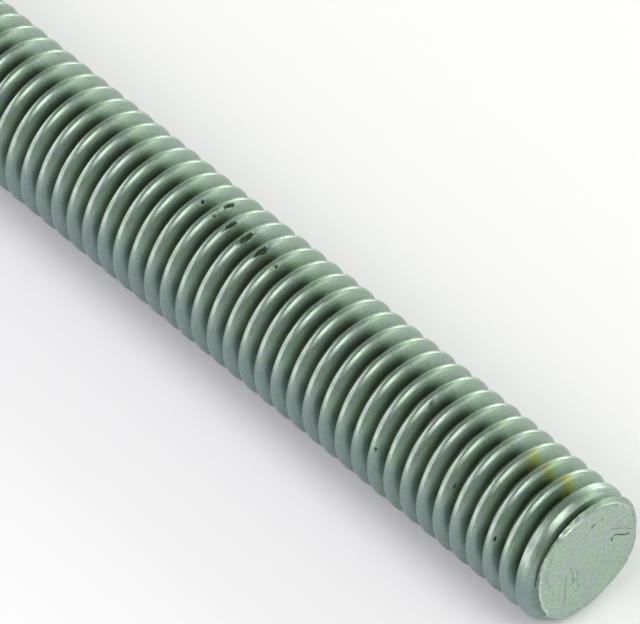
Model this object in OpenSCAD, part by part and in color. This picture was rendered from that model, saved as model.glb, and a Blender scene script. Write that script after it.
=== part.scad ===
// Metric threaded rod: one bar of steel with a right-hand rolled thread from end to end.
// The rod lies along X, with its axis on X and the origin at the middle of its length.
// Sizes are in millimetres and angles in degrees.

/* [Rod] */
// Overall length of the rod, from end face to end face
rod_length = 80; // [10:1:96]

/* [Thread] */
// Diameter over the crests of the thread
outside_d = 7.92; // [6:0.02:12]
// Distance along the rod from one crest to the next
pitch = 1.25; // [1:0.05:1.5]
// Angle between the two flanks of the groove
flank_angle = 60; // [50:1:64]
// Turn about the rod, from +Y towards +Z, at which the crest runs out at the +X end
runout_turn = 85; // [0:5:355]

/* [Ends] */
// How much the chamfer takes off the radius at each end face
chamfer_depth = 0.66; // [0.2:0.02:1.2]
// Angle between the chamfer and the rod's axis
chamfer_angle = 45; // [20:1:60]

/* [Hidden] */

// Proportions of a metric thread, as shares of its pitch
crest_share = 0.144;
depth_share = 0.608;

outside_r = outside_d / 2;
thread_depth = depth_share * pitch;
root_r = outside_r - thread_depth;
half_crest = crest_share * pitch / 2;
flank_run = thread_depth * tan(flank_angle / 2);
face_r = outside_r - chamfer_depth;

// The thread's outline over one pitch, as [place along the rod, radius] from the middle of the crest:
// the two edges of the crest, then the two edges of the root. The next turn's crest closes it.
outline = [
    [-half_crest, outside_r],
    [half_crest, outside_r],
    [half_crest + flank_run, root_r],
    [pitch - half_crest - flank_run, root_r]
];
corners = len(outline);

// The swept thread starts and stops a few turns past the end faces, and the ends are cut from it
spare_turns = 2;
turns = ceil(rod_length / pitch) + 2 * spare_turns + 1;

// Flat facets in each turn: a multiple of four, so that the crests reach the full diameter
// across Y and Z, and as many as keep the whole thread under the limit
facet_limit = 12400;
most_facets = 20;
facets_per_turn = min(most_facets, 4 * floor(facet_limit / (2 * corners * (turns - 1)) / 4));

steps = turns * facets_per_turn;
short_steps = steps - facets_per_turn;
first_crest_x = rod_length / 2 - pitch * (runout_turn / 360 + turns - 1 - spare_turns);

// Clear of the crests, so that the blank only trims the ends
blank_r = outside_r + pitch / 2;

rod_colour = [0.56, 0.61, 0.57];

// Corner number corner of the outline, carried step facets along the helix
function thread_point(step, corner) =
    let (turn = 360 * step / facets_per_turn,
         x = first_crest_x + pitch * step / facets_per_turn + outline[corner][0],
         r = outline[corner][1])
    [x, r * cos(turn), r * sin(turn)];

// Place of that point in the list of points; the corner after the last is the next turn's first
function thread_index(step, corner) =
    corner == corners ? step + facets_per_turn :
    corner == 0 ? step :
    steps + 1 + (corner - 1) * (short_steps + 1) + step;

// The helical ridge and groove as one closed body, with a fan to a point on the axis at each end
module swept_thread() {
    points = concat(
        [for (step = [0 : steps]) thread_point(step, 0)],
        [for (corner = [1 : corners - 1], step = [0 : short_steps]) thread_point(step, corner)],
        [[first_crest_x, 0, 0], [first_crest_x + pitch * turns, 0, 0]]
    );
    start = len(points) - 2;
    finish = len(points) - 1;
    sides = [
        for (step = [0 : short_steps - 1], corner = [0 : corners - 1])
            let (a = thread_index(step, corner), b = thread_index(step + 1, corner),
                 c = thread_index(step + 1, corner + 1), d = thread_index(step, corner + 1))
            each [[a, d, c], [a, c, b]]
    ];
    start_fan = [
        for (step = [0 : facets_per_turn - 1])
            [start, thread_index(step, 0), thread_index(step + 1, 0)],
        for (corner = [0 : corners - 1])
            [start, thread_index(0, corner + 1), thread_index(0, corner)]
    ];
    finish_fan = [
        for (step = [short_steps : steps - 1])
            [finish, thread_index(step + 1, 0), thread_index(step, 0)],
        for (corner = [0 : corners - 1])
            [finish, thread_index(short_steps, corner), thread_index(short_steps, corner + 1)]
    ];
    polyhedron(points, concat(sides, start_fan, finish_fan), convexity = 10);
}

// The space that the finished rod fills: flat end faces, with a cone behind each
module chamfered_blank() {
    half_length = rod_length / 2;
    cone_length = (blank_r - face_r) / tan(chamfer_angle);
    rotate([0, 90, 0])
        rotate_extrude($fn = 96)
            polygon([
                [0, -half_length],
                [face_r, -half_length],
                [blank_r, cone_length - half_length],
                [blank_r, half_length - cone_length],
                [face_r, half_length],
                [0, half_length]
            ]);
}

// The rod: thread from end to end, cut square and chamfered at both ends
module threaded_rod() {
    color(rod_colour)
        intersection() {
            swept_thread();
            chamfered_blank();
        }
}

threaded_rod();
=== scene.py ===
"""A metric threaded rod of dull zinc-coated steel, on a pale floor under soft studio lamps."""
import math

import bmesh
import bpy
from bpy.props import FloatProperty, FloatVectorProperty, IntProperty, PointerProperty
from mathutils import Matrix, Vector, noise


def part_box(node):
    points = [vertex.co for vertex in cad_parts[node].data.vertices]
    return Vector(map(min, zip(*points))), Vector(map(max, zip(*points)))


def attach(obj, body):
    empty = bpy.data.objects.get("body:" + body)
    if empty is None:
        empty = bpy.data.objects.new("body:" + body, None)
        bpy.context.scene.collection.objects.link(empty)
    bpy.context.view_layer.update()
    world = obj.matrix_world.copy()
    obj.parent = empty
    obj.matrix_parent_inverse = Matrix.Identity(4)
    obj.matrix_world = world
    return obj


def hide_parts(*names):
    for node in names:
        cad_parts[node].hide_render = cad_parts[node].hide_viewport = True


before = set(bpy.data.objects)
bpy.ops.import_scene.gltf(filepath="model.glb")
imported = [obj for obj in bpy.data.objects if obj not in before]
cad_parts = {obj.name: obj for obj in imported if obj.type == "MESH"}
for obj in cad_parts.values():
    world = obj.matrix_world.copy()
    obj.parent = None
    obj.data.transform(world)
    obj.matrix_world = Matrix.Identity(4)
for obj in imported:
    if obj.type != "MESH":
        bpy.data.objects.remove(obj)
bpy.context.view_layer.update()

bl_info = {
    "name": "Threaded Rod",
    "version": (1, 0, 0),
    "blender": (4, 5, 0),
    "location": "3D View > Sidebar > Threaded Rod",
    "description": "Models a zinc-coated threaded rod around its packed solid, and a stage to show it on",
    "category": "Object",
}

MM = 0.001
ROD_NODE = "threaded_rod"
LOW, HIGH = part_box(ROD_NODE)
ROD_LENGTH = HIGH.x - LOW.x
OUTSIDE_R = (HIGH.z - LOW.z) / 2

# Below this distance two points of the rod are the same point
SAME_POINT = 0.0005 * MM
# A point this near a cut is moved onto it
SNAP = 0.01 * MM
# A round bend of the thread has one edge for about this much of its turn
BEND_STEP = math.radians(20)
# Edges between faces that meet at less than this angle look round
SMOOTH_ANGLE = math.radians(35)
# The worked end of the thread lies within this length of the near end
NEAR_LENGTH = 4.4 * MM
# The cutting tool flattened the last ridge between the first and the last of these angles about the rod, and
# fully between the other two
WORKED_FROM = math.radians(18)
FULLY_WORKED_FROM = math.radians(40)
FULLY_WORKED_TO = math.radians(215)
WORKED_TO = math.radians(238)

# Knocks in the thread: setback from the near end, angle about the rod from +Y towards +Z in degrees,
# length around the rod, width along it and depth in mm
KNOCKS = [
    (30.50, 82, 0.35, 0.15, 0.05),
    (29.72, 88, 0.25, 0.15, 0.05),
    (28.62, 75, 0.90, 0.20, 0.10),
    (28.58, 87, 0.20, 0.15, 0.06),
    (28.50, 92, 0.20, 0.15, 0.06),
    (27.36, 90, 1.05, 0.24, 0.11),
    (26.14, 90, 1.45, 0.32, 0.14),
    (24.86, 91, 1.25, 0.28, 0.11),
    (23.54, 93, 0.30, 0.15, 0.06),
    (13.40, 69, 0.12, 0.12, 0.06),
    (13.12, 74, 0.16, 0.14, 0.09),
    (12.08, 158, 0.30, 0.12, 0.06),
    (11.00, 101, 0.16, 0.12, 0.07),
    (6.91, 142, 0.35, 0.12, 0.06),
    (3.26, 154, 0.40, 0.12, 0.07),
    (2.40, 116, 0.15, 0.12, 0.06),
]

# Lines cut or torn in the near end face: width, depth, then points (along +Y, along +Z) in mm
FACE_MARKS = [
    (0.035, 0.05, [(1.69, 0.38), (1.72, 0.58), (1.89, 0.64), (2.18, 0.48), (2.54, 0.17), (2.86, 0.04)]),
    (0.03, 0.02, [(1.62, 1.18), (2.10, 0.96), (2.60, 0.62), (3.05, 0.24)]),
    (0.03, 0.02, [(-1.39, -0.09), (-1.46, -0.80), (-1.36, -1.45), (-1.41, -2.12)]),
    (0.06, 0.04, [(0.30, 2.20), (0.46, 2.26)]),
    (0.05, 0.03, [(0.92, 2.20), (1.00, 2.25)]),
    (0.04, 0.015, [(-1.12, 0.44), (-0.92, -0.17), (-1.00, -0.68)]),
    (0.04, 0.015, [(-0.66, -0.17), (-0.52, -0.80), (-0.45, -1.36)]),
    (0.07, 0.012, [(-2.20, 1.90), (-2.77, 0.80), (-2.52, -0.32), (-2.30, -1.20)]),
    (0.05, 0.02, [(-0.93, -0.50), (-0.80, -0.78), (-1.02, -0.92)]),
]

# Torn rim of the near end face: angle about the rod in degrees, height above the rim that the chamfer
# leaves in mm, and how much of a burr stands on it, which also sets its painted glint of bright metal
LIP = [
    (-90, 0.05, 0.0),
    (-62, 0.00, 0.0),
    (-37, 0.17, 0.0),
    (-22, 0.25, 0.0),
    (8, 0.16, 0.0),
    (20, 0.14, 0.1),
    (45, 0.28, 0.7),
    (60, 0.36, 0.8),
    (75, 0.32, 0.5),
    (90, 0.22, 0.2),
    (100, 0.20, 0.9),
    (115, 0.24, 1.0),
    (122, 0.33, 0.3),
    (128, 0.36, 0.9),
    (140, 0.33, 0.9),
    (152, 0.18, 0.9),
    (165, 0.02, 0.8),
    (180, -0.10, 0.8),
    (195, -0.14, 0.7),
    (210, -0.08, 0.7),
    (223, 0.08, 0.3),
    (240, 0.14, 0.0),
    (270, 0.05, 0.0),
]

# The soft boxes hang this far from the rod, and their light is slightly tinted
LAMP_DISTANCE = 0.6
PLAIN = (1.02, 1.0, 0.97)
GREENISH = (0.98, 1.08, 0.91)
ROSE = (1.05, 0.95, 1.04)
# Soft boxes: name, azimuth from +X towards +Y, elevation, width and height as angles in degrees,
# level and tint
SOFT_BOXES = [
    ("key", 0, 44, 21, 18, 2.4, PLAIN),
    ("key_high", 0, 60, 30, 14, 5.3, PLAIN),
    ("key_right", 20, 30, 18, 14, 1.35, GREENISH),
    ("right_front", 60, 8, 30, 15, 1.2, GREENISH),
    ("right_mid", 105, 8, 30, 15, 4.9, PLAIN),
    ("right_high", 82.5, 25, 75, 19, 1.5, GREENISH),
    ("right_back", 130, 25, 30, 19, 0.9, GREENISH),
    ("left_back", 202, 17, 43, 34, 1.6, ROSE),
    ("left_back_high", 215, 38, 40, 15, 2.55, ROSE),
    ("left_low", 240, 8, 15, 15, 3.9, ROSE),
    ("front_low", 285, 8, 25, 15, 1.85, PLAIN),
    ("front", 270, 26, 30, 52, 1.8, ROSE),
]


# ---------------------------------------------------------------- sizes and colours

def colour_property(name, description, default):
    return FloatVectorProperty(name=name, description=description, default=default, subtype="COLOR",
                               min=0.0, max=1.0)


class ThreadSizes(bpy.types.PropertyGroup):
    """The rolled thread, one right-hand ridge from end to end"""
    pitch: FloatProperty(
        name="Pitch", description="Distance along the rod from one crest to the next",
        default=1.25 * MM, min=1.0 * MM, max=1.5 * MM, precision=5, unit="LENGTH")
    depth: FloatProperty(
        name="Depth", description="Height of the ridge, from the root to the crest",
        default=0.76 * MM, min=0.5 * MM, max=0.9 * MM, precision=5, unit="LENGTH")
    crest_flat: FloatProperty(
        name="Crest Flat", description="Flat top of the ridge, from its middle away from the near end",
        default=0.09 * MM, min=0.0, max=0.15 * MM, precision=5, unit="LENGTH")
    crest_round: FloatProperty(
        name="Crest Rounding", description="Radius of the edge of the crest that faces the far end",
        default=0.14 * MM, min=0.02 * MM, max=0.25 * MM, precision=5, unit="LENGTH")
    shoulder: FloatProperty(
        name="Shoulder", description="Length along the rod of the pressed shoulder on the other edge",
        default=0.10 * MM, min=0.02 * MM, max=0.2 * MM, precision=5, unit="LENGTH")
    shoulder_slope: FloatProperty(
        name="Shoulder Slope", description="Slope of that shoulder",
        default=math.radians(38), min=math.radians(20), max=math.radians(50), subtype="ANGLE")
    shoulder_round: FloatProperty(
        name="Shoulder Rounding", description="Radius of the bends on either side of the shoulder",
        default=0.15 * MM, min=0.02 * MM, max=0.25 * MM, precision=5, unit="LENGTH")
    flank_angle: FloatProperty(
        name="Flank Angle", description="Angle between the two flanks of the groove",
        default=math.radians(60), min=math.radians(50), max=math.radians(64), subtype="ANGLE")
    runout_turn: FloatProperty(
        name="Run-out Turn", description="Angle about the rod at which the crest meets the near end face",
        default=math.radians(85), subtype="ANGLE")
    facets: IntProperty(
        name="Facets", description="Flat facets in each turn", default=64, min=32, max=80)


class EndSizes(bpy.types.PropertyGroup):
    """The two cut and chamfered ends"""
    chamfer: FloatProperty(
        name="Chamfer", description="How much the chamfer takes off the radius at each end face",
        default=0.66 * MM, min=0.2 * MM, max=1.2 * MM, precision=5, unit="LENGTH")
    rings: IntProperty(
        name="Face Rings", description="Rings of faces across each end face", default=12, min=4, max=20)


class WearSizes(bpy.types.PropertyGroup):
    """The near end, where the cutting tool flattened the last ridge, and the wear along the rod"""
    land: FloatProperty(
        name="Land", description="Flat top of the last ridge, from its middle towards the near end",
        default=0.20 * MM, min=0.0, max=0.3 * MM, precision=5, unit="LENGTH")
    land_drop: FloatProperty(
        name="Land Drop", description="How much the flat top lies below the other crests",
        default=0.03 * MM, min=0.0, max=0.1 * MM, precision=5, unit="LENGTH")
    bevel: FloatProperty(
        name="Bevel", description="Length along the rod of the bevel after the flat top",
        default=0.36 * MM, min=0.1 * MM, max=0.5 * MM, precision=5, unit="LENGTH")
    bevel_angle: FloatProperty(
        name="Bevel Angle", description="Slope of that bevel", default=math.radians(32), subtype="ANGLE")
    recess: FloatProperty(
        name="Recess", description="How far the face lies behind the burr on its rim",
        default=0.035 * MM, min=0.0, max=0.1 * MM, precision=5, unit="LENGTH")
    unevenness: FloatProperty(
        name="Unevenness", description="How much the surface wavers from the true thread",
        default=0.014 * MM, min=0.0, max=0.05 * MM, precision=5, unit="LENGTH")


class MetalColours(bpy.types.PropertyGroup):
    """Colours of the coated steel, with painted shade and painted glints among them"""
    zinc: colour_property("Zinc", "Greenish part of the coating", (0.285, 0.385, 0.295))
    zinc_lilac: colour_property("Lilac Zinc", "Greyer part of the coating", (0.30, 0.375, 0.34))
    # Painted shade and dirt: this colour darkens the bottoms of the groove
    root: colour_property("Root", "Dirt in the bottom of the groove", (0.11, 0.14, 0.095))
    # Painted shade: this tone darkens and blues the lower half of the rod
    painted_underside_shade: colour_property("Underside", "Tone that the lower half takes on", (0.79, 0.83, 0.94))
    stain: colour_property("Stain", "Yellow-brown stains near the end", (0.33, 0.36, 0.13))
    grime: colour_property("Grime", "Dirt in knocks and torn lines", (0.035, 0.055, 0.035))
    # Painted highlight: bright metal painted where the burr glints, partly fresh torn metal
    glint_and_fresh: colour_property("Fresh Metal", "Bright metal on the burr", (0.75, 0.82, 0.76))
    face: colour_property("Cut Face", "Greenish part of the end faces", (0.43, 0.56, 0.45))
    face_lilac: colour_property("Lilac Cut Face", "Greyer part of the end faces", (0.45, 0.53, 0.50))


class StageSettings(bpy.types.PropertyGroup):
    """Camera, floor and lamps"""
    lens: FloatProperty(
        name="Lens", description="Focal length of the camera", default=470.4, unit="CAMERA")
    azimuth: FloatProperty(
        name="Azimuth", description="Turn of the camera about the vertical, from -Y towards +X",
        default=math.radians(48.195), subtype="ANGLE")
    elevation: FloatProperty(
        name="Elevation", description="Height of the camera above the horizon",
        default=math.radians(45.832), subtype="ANGLE")
    distance: FloatProperty(
        name="Distance", description="From the camera to the point it looks at",
        default=434.236 * MM, precision=5, unit="LENGTH")
    aim_setback: FloatProperty(
        name="Aim Setback", description="How far behind the near end face the camera looks",
        default=20.354 * MM, precision=5, unit="LENGTH")
    aim_height: FloatProperty(
        name="Aim Height", description="How far above the rod's axis the camera looks",
        default=2.7405 * MM, precision=5, unit="LENGTH")
    floor_size: FloatProperty(
        name="Floor Size", description="Side of the square floor", default=6.0, unit="LENGTH")
    floor_colour: colour_property("Floor Colour", "Pale colour of the floor", (0.955, 0.96, 0.965))
    world_colour: colour_property("World Colour", "Plain light from all round", (0.395, 0.405, 0.40))


# ---------------------------------------------------------------- small tools

def deselect_all():
    if bpy.context.object and bpy.context.object.mode != "OBJECT":
        bpy.ops.object.mode_set(mode="OBJECT")
    bpy.ops.object.select_all(action="DESELECT")


def select_only(piece):
    deselect_all()
    bpy.context.view_layer.objects.active = piece
    piece.select_set(True)


# ---------------------------------------------------------------- the rod

def go_down(offset, radius, bends):
    """Points (offset, radius) down one side of the ridge from its flat top.

    Each bend is its rounding, the slope it turns to, and the length along the rod of the straight after it.
    """
    points = [(offset, radius)]
    slope = 0
    for rounding, next_slope, straight in bends:
        steps = round((next_slope - slope) / BEND_STEP)
        for step in range(1, steps + 1):
            part_slope = slope + (next_slope - slope) * step / steps
            points.append((offset + rounding * (math.sin(part_slope) - math.sin(slope)),
                           radius - rounding * (math.cos(slope) - math.cos(part_slope))))
        offset, radius = points[-1]
        slope = next_slope
        if straight:
            offset += straight
            radius -= straight * math.tan(slope)
            points.append((offset, radius))
    return points


class Ridge:
    """The outline of one ridge of the thread.

    The flat crest ends in a round edge towards the far end and in a pressed shoulder towards the near
    end. The flanks are straight and the root is round.
    """

    def __init__(self, thread):
        self.lean = thread.flank_angle / 2
        self.flank_slope = math.pi / 2 - self.lean
        self.half_pitch = thread.pitch / 2
        self.root_r = OUTSIDE_R - thread.depth
        self.back = self.reach_root(go_down(thread.crest_flat, OUTSIDE_R, [
            (thread.crest_round, self.flank_slope, 0)]))
        self.front = self.reach_root(go_down(0, OUTSIDE_R, [
            (thread.shoulder_round, thread.shoulder_slope, thread.shoulder),
            (thread.shoulder_round, self.flank_slope, 0)]))

    def reach_root(self, side):
        """Adds the flank and half of the round root to one side of the ridge."""
        offset, radius = side[-1]
        half_root = self.half_pitch - offset - (radius - self.root_r) * math.tan(self.lean)
        root_round = half_root * math.cos(self.lean) / (1 - math.sin(self.lean))
        root = [(self.half_pitch - root_round * math.sin(slope),
                 self.root_r + root_round * (1 - math.cos(slope)))
                for slope in (self.flank_slope, self.flank_slope / 2, 0)]
        middle = ((offset + root[0][0]) / 2, (radius + root[0][1]) / 2)
        return side + [middle] + root

    def outline(self):
        """Points (place along the rod, radius) from the middle of one root to the middle of the next."""
        back = [(-offset, radius) for offset, radius in reversed(self.back)]
        return back + self.front

    def radius(self, offset):
        """Radius of the rod at a distance along it from the middle of the crest, up to half a pitch."""
        side = self.front if offset > 0 else self.back
        offset = abs(offset)
        if offset <= side[0][0]:
            return OUTSIDE_R
        for (start, start_r), (stop, stop_r) in zip(side, side[1:]):
            if offset <= stop:
                return start_r + (stop_r - start_r) * (offset - start) / (stop - start)
        return self.root_r


def draw_outline(points, name):
    """An open line of edges through points (x, y), extruded vertex by vertex."""
    deselect_all()
    bpy.ops.mesh.primitive_plane_add(size=MM, location=(points[0][0], points[0][1], 0))
    line = bpy.context.object
    line.name = name
    bpy.ops.object.transform_apply(location=True)
    bpy.ops.object.mode_set(mode="EDIT")
    bpy.ops.mesh.merge(type="CENTER")
    for start, stop in zip(points, points[1:]):
        step = (stop[0] - start[0], stop[1] - start[1], 0)
        bpy.ops.mesh.extrude_region_move(TRANSFORM_OT_translate={"value": step})
    bpy.ops.object.mode_set(mode="OBJECT")
    return line


def roll_thread(thread):
    """The helical ridge and groove, a little longer than the rod at both ends, as a closed mesh."""
    spare_turns = 2
    turns = math.ceil(ROD_LENGTH / thread.pitch) + 2 * spare_turns
    runout = thread.runout_turn / math.tau
    first_crest = HIGH.x - thread.pitch * (runout + turns - spare_turns)
    outline = [(first_crest + x, r) for x, r in Ridge(thread).outline()]
    rod = draw_outline(outline, "rolled_rod")
    screw = rod.modifiers.new("Thread", "SCREW")
    screw.axis = "X"
    screw.angle = math.tau
    screw.screw_offset = thread.pitch
    screw.iterations = turns
    screw.steps = thread.facets
    screw.render_steps = thread.facets
    screw.use_merge_vertices = False
    select_only(rod)
    bpy.ops.object.modifier_apply(modifier=screw.name)

    bpy.ops.object.mode_set(mode="EDIT")
    bpy.ops.mesh.select_all(action="SELECT")
    bpy.ops.mesh.remove_doubles(threshold=SAME_POINT)
    bpy.ops.mesh.select_all(action="DESELECT")
    bpy.ops.mesh.select_mode(type="EDGE")
    bpy.ops.mesh.select_non_manifold(extend=False, use_wire=False, use_boundary=True,
                                     use_multi_face=False, use_non_contiguous=False, use_verts=False)
    bpy.ops.mesh.edge_face_add()
    bpy.ops.mesh.select_mode(type="VERT")
    bpy.ops.mesh.select_all(action="SELECT")
    bpy.ops.mesh.normals_make_consistent(inside=False)
    bpy.ops.object.mode_set(mode="OBJECT")
    return rod


def end_cone(ends, side):
    """The cone that bounds one end: a function that gives how far a point stands outside it."""
    face_r = OUTSIDE_R - ends.chamfer

    def proud(point):
        return math.hypot(point.y, point.z) - face_r - (HIGH.x - side * point.x)

    return proud


def press(vertex, distance):
    """Moves a vertex straight towards the rod's axis."""
    radius = math.hypot(vertex.co.y, vertex.co.z)
    vertex.co.y *= 1 - distance / radius
    vertex.co.z *= 1 - distance / radius


def chamfer_end(rod, ends, side):
    """Presses all that stands outside the end's cone onto it, with a true edge where the cone starts."""
    proud = end_cone(ends, side)
    mesh = bmesh.new()
    mesh.from_mesh(rod.data)

    def end_vertices():
        return [v for v in mesh.verts if side * v.co.x > HIGH.x - 2 * ends.chamfer]

    for vertex in end_vertices():
        out = proud(vertex.co)
        if abs(out) < SNAP:
            press(vertex, out)
    crossed = {}
    for edge in {edge for vertex in end_vertices() for edge in vertex.link_edges}:
        first, last = (proud(vertex.co) for vertex in edge.verts)
        if min(abs(first), abs(last)) > SNAP / 2 and first * last < 0:
            crossed[edge] = first / (first - last)
    bmesh.ops.bisect_edges(mesh, edges=list(crossed), cuts=1, edge_percents=crossed)
    bmesh.ops.connect_verts(mesh, verts=[v for v in end_vertices() if abs(proud(v.co)) < SNAP / 2])
    for vertex in end_vertices():
        press(vertex, max(proud(vertex.co), 0))
    mesh.to_mesh(rod.data)
    mesh.free()


def face_end(rod, ends, side):
    """Cuts one end square and closes it with rings of faces."""
    bpy.context.view_layer.objects.active = rod
    bpy.ops.object.mode_set(mode="EDIT")
    bpy.ops.mesh.select_mode(type="VERT")
    bpy.ops.mesh.select_all(action="SELECT")
    bpy.ops.mesh.bisect(plane_co=(side * HIGH.x, 0, 0), plane_no=(side, 0, 0), clear_outer=True,
                        use_fill=False, threshold=SAME_POINT)
    bpy.ops.mesh.select_mode(type="EDGE")
    for ring in range(ends.rings - 1, 0, -1):
        shrink = ring / (ring + 1)
        bpy.ops.mesh.extrude_edges_move()
        bpy.ops.transform.resize(value=(1, shrink, shrink), center_override=(side * HIGH.x, 0, 0))
    bpy.ops.mesh.extrude_edges_move()
    bpy.ops.mesh.merge(type="CENTER")
    bpy.ops.object.mode_set(mode="OBJECT")


# ---------------------------------------------------------------- wear

def angle_about(point):
    """Angle of a point about the rod, from +Y towards +Z, between -90 and 270 degrees."""
    angle = math.atan2(point.z, point.y)
    return angle + math.tau if angle < -math.pi / 2 else angle


def ease(value, start, stop):
    """Rises smoothly from 0 at start to 1 at stop."""
    share = min(max((value - start) / (stop - start), 0), 1)
    return share * share * (3 - 2 * share)


def waver(point, size, seed=0.0):
    """Smooth noise between -1 and 1, with lumps about as large as size."""
    return noise.noise(Vector((point.x / size + seed, point.y / size, point.z / size)))


def split_many_sided():
    """Triangulates the faces with more than four sides, which subdividing a neighbour leaves."""
    bpy.ops.mesh.select_mode(type="FACE")
    bpy.ops.mesh.select_face_by_sides(number=4, type="GREATER", extend=False)
    bpy.ops.mesh.quads_convert_to_tris()
    bpy.ops.mesh.select_all(action="DESELECT")


def refine(rod, size, near):
    """Splits the faces whose middle is near enough until each is about as small as size."""
    largest = 1.6 * size * size
    most_splits = 6
    bpy.context.view_layer.objects.active = rod
    for split in range(most_splits):
        bpy.ops.object.mode_set(mode="EDIT")
        split_many_sided()
        bpy.ops.object.mode_set(mode="OBJECT")
        coarse = 0
        for face in rod.data.polygons:
            if face.area > largest and near(face.center):
                face.select = True
                coarse += 1
        if not coarse:
            break
        bpy.ops.object.mode_set(mode="EDIT")
        bpy.ops.mesh.subdivide(number_cuts=1)
        bpy.ops.object.mode_set(mode="OBJECT")


def knock_at(point, margin):
    """The knock that a point lies in, or within a margin of, and how far off its middle the point lies."""
    for knock in KNOCKS:
        setback, angle, length, width = knock[:4]
        along = abs(HIGH.x - setback * MM - point.x)
        if along < width * MM / 2 + margin:
            around = abs(angle_about(point) - math.radians(angle)) * OUTSIDE_R
            if around < length * MM / 2 + margin:
                return knock, along, around
    return None


def knock_down(point):
    """How much a knock lowers a point of a crest, and how dirty it leaves it."""
    found = knock_at(point, 0)
    if not found:
        return 0.0, 0.0
    (setback, angle, length, width, depth), along, around = found
    off_middle = (along / (width * MM / 2)) ** 2 + (around / (length * MM / 2)) ** 2
    # Noise makes the outline and the floor of the knock ragged
    share = min(max(1 - off_middle + 0.55 * waver(point, 0.17 * MM, 9.0), 0), 1)
    ragged = 0.8 + 0.4 * waver(point, 0.12 * MM)
    return depth * MM * min(1.6 * share, 1) * ragged, min(2.6 * share * ragged, 1)


def on_face(point):
    """Whether a point lies on the near end face."""
    return point.x > HIGH.x - SNAP


def line_distance(point, line):
    """Shortest distance in mm from a point of the end face to a line of points (y, z) in mm."""
    spot = Vector((point.y / MM, point.z / MM))
    shortest = math.inf
    for start, stop in zip(line, line[1:]):
        start = Vector(start)
        side = Vector(stop) - start
        share = min(max((spot - start).dot(side) / side.length_squared, 0), 1)
        shortest = min(shortest, (spot - start - share * side).length)
    return shortest


def on_near_side(point, reach):
    """Whether a point lies within reach of the near end, on the side of the rod that was worked on."""
    return point.x > HIGH.x - reach and WORKED_FROM < angle_about(point) < WORKED_TO


def last_ridge(wear, ridge, offset):
    """Radius of the flattened and bevelled last ridge, at an offset from its middle towards the near end."""
    share = min(max(offset - wear.land, 0) / wear.bevel, 1)
    # The bevel is rounded: it starts this much flatter and ends this much steeper than its angle
    bulge = math.radians(10)
    first = math.tan(wear.bevel_angle - bulge)
    last = math.tan(wear.bevel_angle + bulge)
    drop = wear.bevel * (first * share + (last - first) * share * share / 2)
    beyond = max(offset - wear.land - wear.bevel, 0)
    return OUTSIDE_R - wear.land_drop - drop - beyond / math.tan(ridge.lean)


def lip_at(ends, angle):
    """Radius of the near end face, and how much of a burr and painted glint stands on its rim, at an angle
    about the rod.
    """
    degrees = min(math.degrees(angle), LIP[-1][0])
    start, stop = next(pair for pair in zip(LIP, LIP[1:]) if degrees <= pair[1][0])
    share = ease(degrees, start[0], stop[0])
    height, burr = (start[part] + share * (stop[part] - start[part]) for part in (1, 2))
    # Coarse and fine tears around the rim
    ragged = noise.noise(Vector((angle * 9, 0, 0))) + 0.6 * noise.noise(Vector((angle * 25, 5, 0)))
    return OUTSIDE_R - ends.chamfer + (height + 0.03 * ragged) * MM, burr


def worn_radius(thread, wear, ends, ridge, point):
    """Radius of the rod's side near the near end."""
    angle = angle_about(point)
    turns = (point.x - HIGH.x) / thread.pitch - (angle - thread.runout_turn) / math.tau
    radius = ridge.radius((turns - round(turns)) * thread.pitch)
    past_last = (turns + 1) * thread.pitch
    if -ridge.half_pitch < past_last < thread.pitch:
        worked = ease(angle, WORKED_FROM, FULLY_WORKED_FROM)
        worked *= 1 - ease(angle, FULLY_WORKED_TO, WORKED_TO)
        if past_last > 0:
            radius = max(radius, last_ridge(wear, ridge, past_last) - (1 - worked) * thread.depth)
        radius = min(radius, OUTSIDE_R - wear.land_drop * worked)
    lip, burr = lip_at(ends, angle)
    to_face = HIGH.x - point.x
    torn = 0.03 * MM * waver(point, 0.2 * MM, 3.0) * burr * (1 - ease(to_face, 0.2 * MM, 0.4 * MM))
    return min(radius, lip + to_face + torn)


def wear_face(wear, ends, point):
    """Place of a point of the near end face after wear, with its dirt and its bright metal with painted
    glints.
    """
    radius = math.hypot(point.y, point.z)
    lip, burr = lip_at(ends, angle_about(point))
    stretch = lip / (OUTSIDE_R - ends.chamfer)
    from_rim = lip - radius * stretch
    inner = ease(from_rim, 0.03 * MM, 0.14 * MM)
    ragged = max(waver(point, 0.2 * MM) + 0.3, 0)
    sunk = wear.recess * inner + 0.015 * MM * ragged * (1 - inner)
    sunk += inner * 0.012 * MM * (waver(point, 1.2 * MM) + 0.5 * waver(point, 0.4 * MM))
    sunk += (1 - burr) * 0.045 * MM * (1 - ease(from_rim, 0, 0.07 * MM))
    dirt = 0.0
    for width, depth, line in FACE_MARKS:
        gap = line_distance(point, line) / width
        if gap < 1:
            sunk += depth * MM * (1 - gap * gap)
            dirt = max(dirt, (1 - gap * gap) * min(depth / 0.04, 1))
    # Painted highlight: bright metal glints painted along the burred rim
    bright = burr * (1 - ease(from_rim, 0.03 * MM, 0.11 * MM)) * min(0.4 + ragged, 1)
    return Vector((HIGH.x - max(sunk, 0), point.y * stretch, point.z * stretch)), dirt, bright


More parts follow.
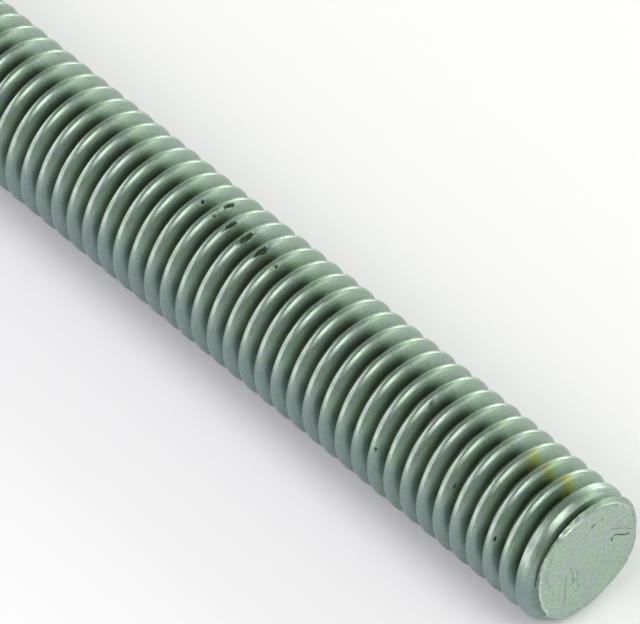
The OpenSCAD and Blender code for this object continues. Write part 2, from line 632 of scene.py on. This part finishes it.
def refine_worn_parts(rod, ends):
    """Makes the faces smaller where the wear shows: at the near end, the knocks and the torn lines."""
    rim_r = OUTSIDE_R - ends.chamfer - 0.2 * MM
    sharp_marks = [(width + 0.02, line) for width, depth, line in FACE_MARKS if depth > 0.014]
    refine(rod, 0.14 * MM, lambda point: on_near_side(point, 4.5 * MM) or point.x > HIGH.x - 0.4 * MM)
    refine(rod, 0.10 * MM, lambda point: on_near_side(point, 2.4 * MM) and not on_face(point))
    refine(rod, 0.06 * MM, lambda point: on_near_side(point, 0.3 * MM) and not on_face(point))
    refine(rod, 0.06 * MM, lambda point: on_face(point) and math.hypot(point.y, point.z) > rim_r)
    refine(rod, 0.05 * MM, lambda point: knock_at(point, 0.08 * MM))
    refine(rod, 0.03 * MM, lambda point: on_face(point) and any(
        line_distance(point, line) < reach for reach, line in sharp_marks))


def wear_down(rod, thread, wear, ends):
    """Gives the rod its worked near end, its knocks and torn lines, and a slightly uneven surface."""
    refine_worn_parts(rod, ends)
    ridge = Ridge(thread)
    worn_from = HIGH.x - NEAR_LENGTH
    grime = rod.data.attributes.new("grime", "FLOAT", "POINT")
    glint_and_fresh = rod.data.attributes.new("glint_and_fresh", "FLOAT", "POINT")
    for index, vertex in enumerate(rod.data.vertices):
        point = vertex.co.copy()
        if on_face(point):
            vertex.co, grime.data[index].value, glint_and_fresh.data[index].value = wear_face(wear, ends, point)
            continue
        radius = math.hypot(point.y, point.z)
        target = radius
        uneven = 0.5 + 0.35 * waver(point, 0.9 * MM) + 0.15 * waver(point, 3 * MM, 7.0)
        if point.x > worn_from:
            target = worn_radius(thread, wear, ends, ridge, point)
            uneven += 0.35 * waver(point, 0.28 * MM, 2.0) * ease(point.x, worn_from, HIGH.x - 3 * MM)
            burr = lip_at(ends, angle_about(point))[1]
            # Painted highlight: bright metal glints painted on the burr next to the face
            glint_and_fresh.data[index].value = burr * (1 - ease(HIGH.x - point.x, 0.01 * MM, 0.08 * MM))
        target -= wear.unevenness * max(uneven, 0)
        # A knock only reaches the upper part of a ridge
        if radius > OUTSIDE_R - 0.55 * thread.depth:
            lowered, grime.data[index].value = knock_down(point)
            target -= lowered
        vertex.co.y *= target / radius
        vertex.co.z *= target / radius


# ---------------------------------------------------------------- metal

def put(tree, socket, value):
    """Links a node's output to a socket, or writes a plain value on it."""
    if isinstance(value, bpy.types.NodeSocket):
        tree.links.new(value, socket)
    else:
        socket.default_value = value


def calc(tree, operation, *values):
    """One Math node."""
    node = tree.nodes.new("ShaderNodeMath")
    node.operation = operation
    for socket, value in zip(node.inputs, values):
        put(tree, socket, value)
    return node.outputs[0]


def rise(tree, value, low, high):
    """Smooth step: 0 up to low and 1 from high on."""
    node = tree.nodes.new("ShaderNodeMapRange")
    node.interpolation_type = "SMOOTHSTEP"
    put(tree, node.inputs["Value"], value)
    put(tree, node.inputs["From Min"], low)
    put(tree, node.inputs["From Max"], high)
    return node.outputs[0]


def fall(tree, value, low, high):
    """Smooth step: 1 up to low and 0 from high on."""
    return calc(tree, "SUBTRACT", 1.0, rise(tree, value, low, high))


def mottle(tree, where, per_mm, detail, seed):
    """Noise between 0 and 1, with about per_mm lumps in each millimetre."""
    node = tree.nodes.new("ShaderNodeTexNoise")
    node.noise_dimensions = "4D"
    put(tree, node.inputs["Vector"], where)
    put(tree, node.inputs["W"], seed)
    put(tree, node.inputs["Scale"], per_mm / MM)
    put(tree, node.inputs["Detail"], detail)
    return node.outputs["Fac"]


def blend(tree, share, first, second, way="MIX"):
    """Mixes two colours."""
    node = tree.nodes.new("ShaderNodeMix")
    node.data_type = "RGBA"
    node.blend_type = way
    put(tree, node.inputs[0], share)
    put(tree, node.inputs[6], first)
    put(tree, node.inputs[7], second)
    return node.outputs[2]


def wear_and_glint_colour(tree, colours, colour):
    """Lays the dirt and the bright metal with painted glints that the mesh carries over a colour."""
    colour = blend(tree, attribute(tree, "grime"), colour, (*colours.grime, 1))
    return blend(tree, attribute(tree, "glint_and_fresh"), colour, (*colours.glint_and_fresh, 1))


def attribute(tree, name):
    """One of the mesh's own values, from 0 to 1."""
    node = tree.nodes.new("ShaderNodeAttribute")
    node.attribute_name = name
    return node.outputs["Fac"]


def grain(tree, where, per_mm, depth, seed):
    """Bump from fine noise."""
    node = tree.nodes.new("ShaderNodeBump")
    put(tree, node.inputs["Strength"], 1.0)
    put(tree, node.inputs["Distance"], depth)
    put(tree, node.inputs["Height"], mottle(tree, where, per_mm, 3.0, seed))
    return node.outputs["Normal"]


def start_metal(name):
    """A new metal with its node tree, its shader and the place on the rod."""
    material = bpy.data.materials.new(name)
    material.use_nodes = True
    tree = material.node_tree
    shader = tree.nodes["Principled BSDF"]
    shader.inputs["Metallic"].default_value = 1.0
    where = tree.nodes.new("ShaderNodeTexCoord").outputs["Object"]
    return material, tree, shader, where


def dirt_and_shade_in_root(tree, y, z, radius):
    """Darkens the bottom of the groove, partly dirt and partly painted shade: all of it along the top, less
    on the +Y side and lower down.
    """
    in_root = fall(tree, radius, 3.25 * MM, 3.72 * MM)
    fainter_on_side = calc(tree, "MULTIPLY", rise(tree, calc(tree, "DIVIDE", y, radius), 0.05, 0.30), 0.6)
    fainter_below = calc(tree, "MULTIPLY", fall(tree, calc(tree, "DIVIDE", z, radius), 0.05, 0.35), 0.5)
    kept_share = calc(tree, "SUBTRACT", 1.0, calc(tree, "MAXIMUM", fainter_on_side, fainter_below))
    return calc(tree, "MULTIPLY", in_root, kept_share)


def end_stain(tree, where, x, y, z):
    """A patchy stained band along the top of the last few turns."""
    turn = calc(tree, "ARCTAN2", z, y)
    off_middle = calc(tree, "ABSOLUTE", calc(tree, "SUBTRACT", turn, math.radians(80)))
    in_band = fall(tree, off_middle, math.radians(1), math.radians(13))
    in_reach = calc(tree, "MULTIPLY", rise(tree, x, HIGH.x - 5.6 * MM, HIGH.x - 4.6 * MM),
                    fall(tree, x, HIGH.x - 1.8 * MM, HIGH.x - 1.4 * MM))
    patchy = rise(tree, mottle(tree, where, 1.6, 3.0, 3.0), 0.35, 0.6)
    return calc(tree, "MULTIPLY", calc(tree, "MULTIPLY", in_band, in_reach), patchy)


def zinc_metal(colours):
    """Dull zinc over rolled steel: greenish and lilac blotches, groove bottoms darkened by dirt and painted
    shade, a lower half darkened and blued by painted shade, and stains near the end.
    """
    material, tree, shader, where = start_metal("dull_zinc")
    parts = tree.nodes.new("ShaderNodeSeparateXYZ")
    tree.links.new(where, parts.inputs[0])
    x, y, z = parts.outputs
    squares = calc(tree, "ADD", calc(tree, "MULTIPLY", y, y), calc(tree, "MULTIPLY", z, z))
    radius = calc(tree, "SQRT", squares)
    blotches = mottle(tree, where, 1.3, 4.0, 1.0)
    specks = mottle(tree, where, 7.0, 3.0, 2.0)

    colour = blend(tree, rise(tree, blotches, 0.40, 0.62), (*colours.zinc, 1), (*colours.zinc_lilac, 1))
    tone = calc(tree, "ADD", calc(tree, "MULTIPLY", specks, 0.6), 0.7)
    colour = blend(tree, 1.0, colour, tone, "MULTIPLY")
    # Painted shade and dirt darken the bottoms of the groove
    colour = blend(tree, dirt_and_shade_in_root(tree, y, z, radius), colour, (*colours.root, 1))
    colour = blend(tree, end_stain(tree, where, x, y, z), colour, (*colours.stain, 1))
    # Painted shade: the lower half of the rod is painted darker and bluer
    low = fall(tree, calc(tree, "DIVIDE", z, radius), 0.1, 0.55)
    colour = blend(tree, low, colour, blend(tree, 1.0, colour, (*colours.painted_underside_shade, 1), "MULTIPLY"))

    put(tree, shader.inputs["Base Color"], wear_and_glint_colour(tree, colours, colour))
    put(tree, shader.inputs["Roughness"], calc(tree, "ADD", 0.25, calc(tree, "MULTIPLY", specks, 0.2)))
    put(tree, shader.inputs["Normal"], grain(tree, where, 9.0, 0.006 * MM, 4.0))
    return material


def cut_metal(colours):
    """The cut and lightly coated end face: paler, rougher and blotchy."""
    material, tree, shader, where = start_metal("cut_end")
    blotches = mottle(tree, where, 0.7, 5.0, 5.0)
    specks = mottle(tree, where, 6.0, 4.0, 6.0)
    colour = blend(tree, rise(tree, blotches, 0.42, 0.60), (*colours.face, 1), (*colours.face_lilac, 1))
    tone = calc(tree, "ADD", calc(tree, "MULTIPLY", specks, 0.8), 0.56)
    colour = blend(tree, 1.0, colour, tone, "MULTIPLY")
    put(tree, shader.inputs["Base Color"], wear_and_glint_colour(tree, colours, colour))
    put(tree, shader.inputs["Roughness"], calc(tree, "ADD", 0.38, calc(tree, "MULTIPLY", blotches, 0.25)))
    put(tree, shader.inputs["Normal"], grain(tree, where, 5.0, 0.012 * MM, 7.0))
    return material


def dress_rod(rod, colours, ends):
    """Puts the zinc on the rod and the cut metal on its two end faces."""
    rod.data.materials.clear()
    rod.data.materials.append(zinc_metal(colours))
    rod.data.materials.append(cut_metal(colours))
    deepest_tear = 0.15 * MM
    widest_rim = OUTSIDE_R - ends.chamfer + 0.2 * MM
    for face in rod.data.polygons:
        flat = abs(face.normal.x) > 0.8 and abs(face.center.x) > HIGH.x - deepest_tear
        if flat and math.hypot(face.center.y, face.center.z) < widest_rim:
            face.material_index = 1


class ROD_OT_roll_rod(bpy.types.Operator):
    """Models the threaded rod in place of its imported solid"""
    bl_idname = "rod.roll_rod"
    bl_label = "Threaded Rod"
    bl_options = {"REGISTER", "UNDO"}

    def execute(self, context):
        thread = context.scene.rod_thread
        ends = context.scene.rod_ends
        rod = roll_thread(thread)
        for side in (-1, 1):
            chamfer_end(rod, ends, side)
            face_end(rod, ends, side)
        wear_down(rod, thread, context.scene.rod_wear, ends)
        select_only(rod)
        bpy.ops.object.shade_smooth_by_angle(angle=SMOOTH_ANGLE)
        dress_rod(rod, context.scene.rod_colours, ends)
        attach(rod, "root")
        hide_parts(ROD_NODE)
        return {"FINISHED"}


# ---------------------------------------------------------------- camera, floor and lamps

def direction(azimuth, elevation):
    """Direction towards an azimuth, from +X towards +Y, at an elevation above the horizon."""
    level = math.cos(elevation)
    return Vector((math.cos(azimuth) * level, math.sin(azimuth) * level, math.sin(elevation)))


def place_camera(stage):
    aim = Vector((HIGH.x - stage.aim_setback, 0, stage.aim_height))
    away = direction(stage.azimuth - math.pi / 2, stage.elevation)
    camera = bpy.data.objects.new("camera", bpy.data.cameras.new("camera"))
    bpy.context.scene.collection.objects.link(camera)
    camera.location = aim + away * stage.distance
    camera.rotation_euler = (-away).to_track_quat("-Z", "Y").to_euler()
    camera.data.lens = stage.lens
    camera.data.clip_start = 0.01
    camera.data.clip_end = 20
    bpy.context.scene.camera = camera


def lay_floor(stage):
    deselect_all()
    bpy.ops.mesh.primitive_plane_add(size=stage.floor_size, location=(0, 0, LOW.z))
    floor = bpy.context.object
    floor.name = "floor"
    material = bpy.data.materials.new("pale_floor")
    material.use_nodes = True
    shader = material.node_tree.nodes["Principled BSDF"]
    shader.inputs["Base Color"].default_value = (*stage.floor_colour, 1)
    shader.inputs["Roughness"].default_value = 0.9
    shader.inputs["Specular IOR Level"].default_value = 0.2
    floor.data.materials.append(material)


def hang_soft_box(name, azimuth, elevation, width, height, level, tint):
    """A flat lamp that faces the shown stretch of rod and fills the given angles of its surroundings."""
    away = direction(math.radians(azimuth), math.radians(elevation))
    lamp = bpy.data.objects.new(name, bpy.data.lights.new(name, "AREA"))
    bpy.context.scene.collection.objects.link(lamp)
    lamp.location = Vector((HIGH.x / 2, 0, LOW.z)) + away * LAMP_DISTANCE
    lamp.rotation_euler = away.to_track_quat("Z", "Y").to_euler()
    lamp.data.shape = "RECTANGLE"
    lamp.data.size = 2 * LAMP_DISTANCE * math.tan(math.radians(width / 2))
    lamp.data.size_y = 2 * LAMP_DISTANCE * math.tan(math.radians(height / 2))
    # A box is as bright as its level says, whatever its size
    lamp.data.energy = level * math.pi * lamp.data.size * lamp.data.size_y
    lamp.data.color = tint


class ROD_OT_set_stage(bpy.types.Operator):
    """Places the camera, the floor and the lamps"""
    bl_idname = "rod.set_stage"
    bl_label = "Stage"
    bl_options = {"REGISTER", "UNDO"}

    def execute(self, context):
        stage = context.scene.rod_stage
        place_camera(stage)
        lay_floor(stage)
        world = bpy.data.worlds.new("studio")
        world.use_nodes = True
        world.node_tree.nodes["Background"].inputs["Color"].default_value = (*stage.world_colour, 1)
        context.scene.world = world
        for soft_box in SOFT_BOXES:
            hang_soft_box(*soft_box)
        context.scene.view_settings.view_transform = "Standard"
        return {"FINISHED"}


class VIEW3D_PT_threaded_rod(bpy.types.Panel):
    """The stage and the rod, with their sizes and colours"""
    bl_label = "Threaded Rod"
    bl_idname = "VIEW3D_PT_threaded_rod"
    bl_space_type = "VIEW_3D"
    bl_region_type = "UI"
    bl_category = "Threaded Rod"

    def draw(self, context):
        scene = context.scene
        for operator, groups in (("rod.set_stage", (scene.rod_stage,)),
                                 ("rod.roll_rod", (scene.rod_thread, scene.rod_ends, scene.rod_wear,
                                                   scene.rod_colours))):
            box = self.layout.box()
            box.operator(operator)
            for group in groups:
                for name in group.__annotations__:
                    box.prop(group, name)


CLASSES = (ThreadSizes, EndSizes, WearSizes, MetalColours, StageSettings, ROD_OT_set_stage, ROD_OT_roll_rod,
           VIEW3D_PT_threaded_rod)
GROUPS = {"rod_thread": ThreadSizes, "rod_ends": EndSizes, "rod_wear": WearSizes,
          "rod_colours": MetalColours, "rod_stage": StageSettings}


def register():
    for cls in CLASSES:
        bpy.utils.register_class(cls)
    for name, group in GROUPS.items():
        setattr(bpy.types.Scene, name, PointerProperty(type=group))


def unregister():
    for name in GROUPS:
        delattr(bpy.types.Scene, name)
    for cls in reversed(CLASSES):
        bpy.utils.unregister_class(cls)


def main():
    register()
    bpy.ops.rod.set_stage()
    bpy.ops.rod.roll_rod()


if __name__ == "__main__":
    main()
